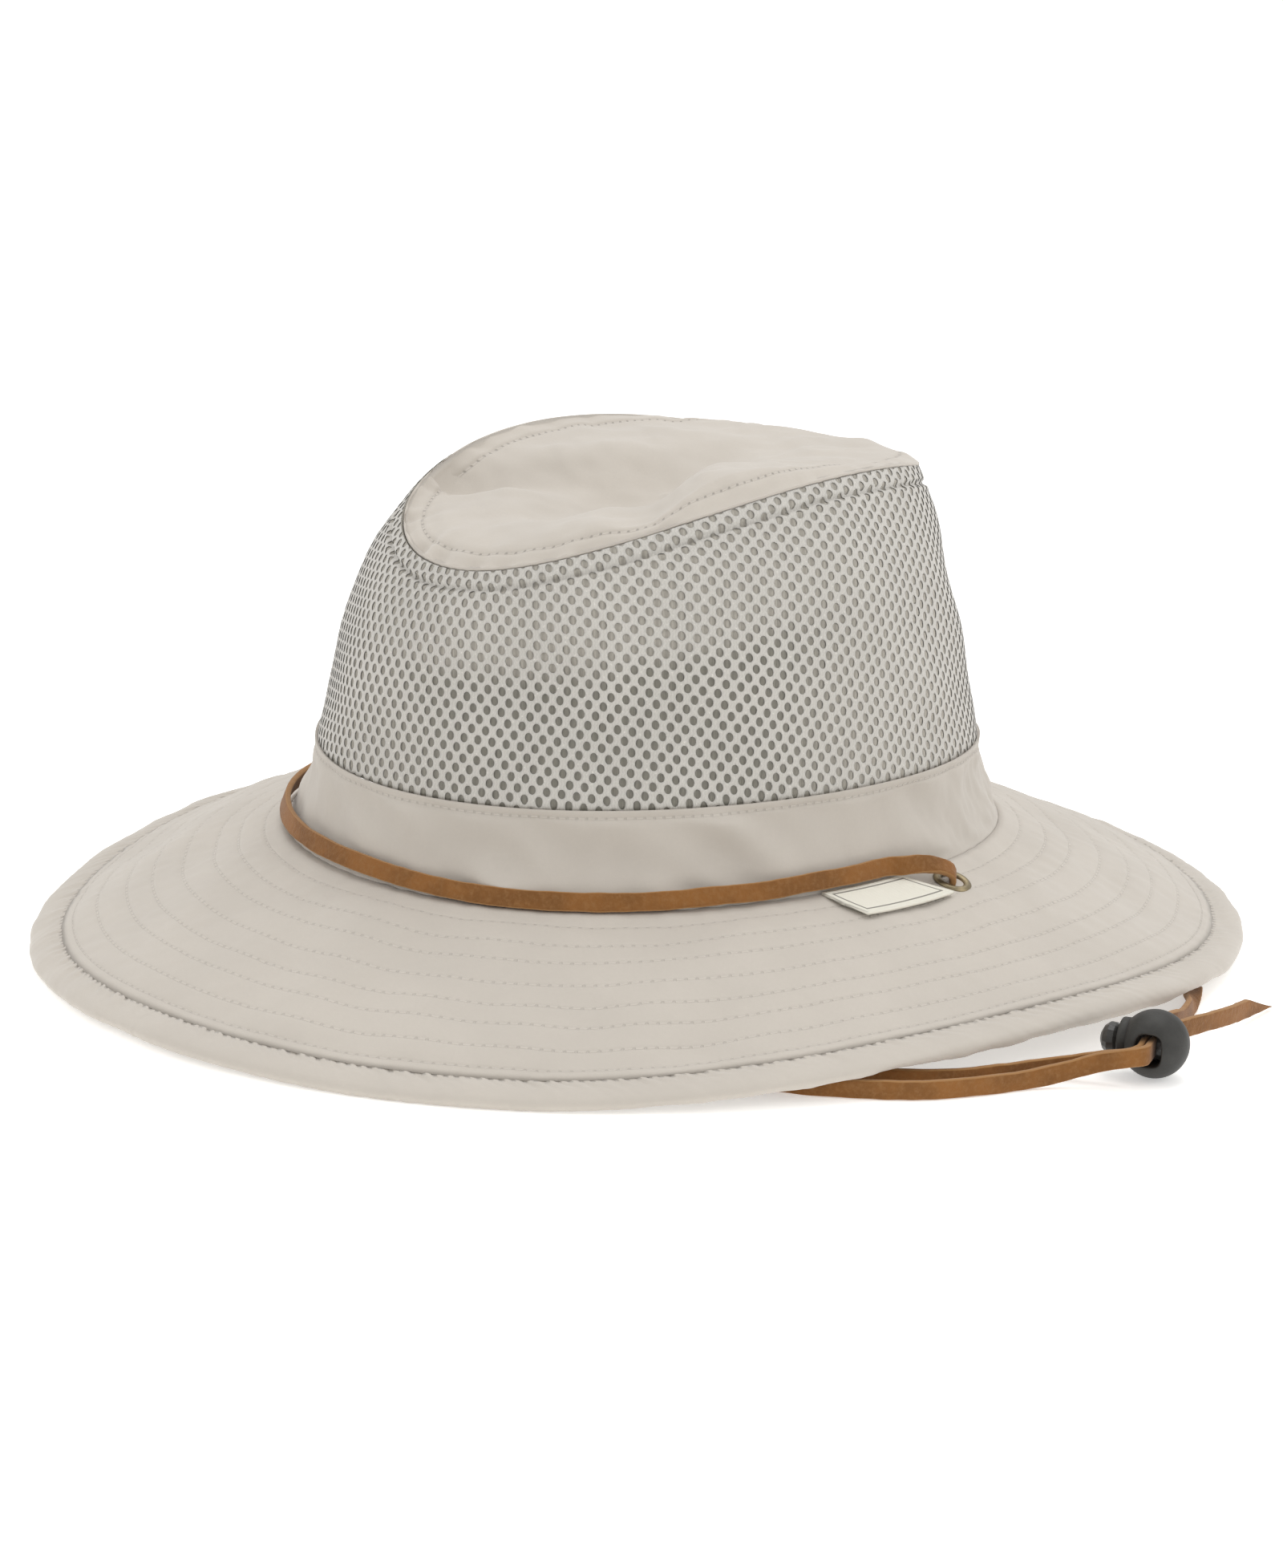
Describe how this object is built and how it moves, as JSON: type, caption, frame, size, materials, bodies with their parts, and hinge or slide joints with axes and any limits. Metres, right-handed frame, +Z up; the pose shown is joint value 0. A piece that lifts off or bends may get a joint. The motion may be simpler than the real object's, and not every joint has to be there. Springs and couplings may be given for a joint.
{
  "type": "safari hat",
  "caption": "Safari hat with a mesh crown, a wide stitched brim, a suede lace round the crown and a chin lace with a cord lock.",
  "frame": {"origin": "centre of the lowest plane of the brim's hem, on the surface that the hat rests on", "axes": "+Z up, -Y towards the front of the hat, +X towards the wearer's left"},
  "size_m": [0.3404, 0.3558, 0.1352],
  "materials": {
    "cloth": "matt",
    "mesh": "matt",
    "suede": "matt",
    "antique_brass": "satin",
    "dark_plastic": "satin",
    "label_cloth": "matt"
  },
  "bodies": {
    "hat": {"crown_tip": "cloth", "crown_mesh": "mesh", "hat_band": "cloth", "brim": "cloth", "brim_hem": "cloth", "eyelet_left": "antique_brass", "eyelet_right": "antique_brass", "crown_lace": "suede", "chin_lace_left": "suede", "chin_lace_right": "suede", "label_tab": "label_cloth", "cord_lock": "dark_plastic"},
    "lock_plunger": {"lock_plunger": "dark_plastic"}
  },
  "joints": [
    {"name": "plunger_slide", "type": "slide", "parent": "hat", "child": "lock_plunger", "axis": [0.8829, 0.4695, 0], "range_m": [0, 0.003], "stiffness_N_per_m": 300, "springref_m": -0.004}
  ]
}
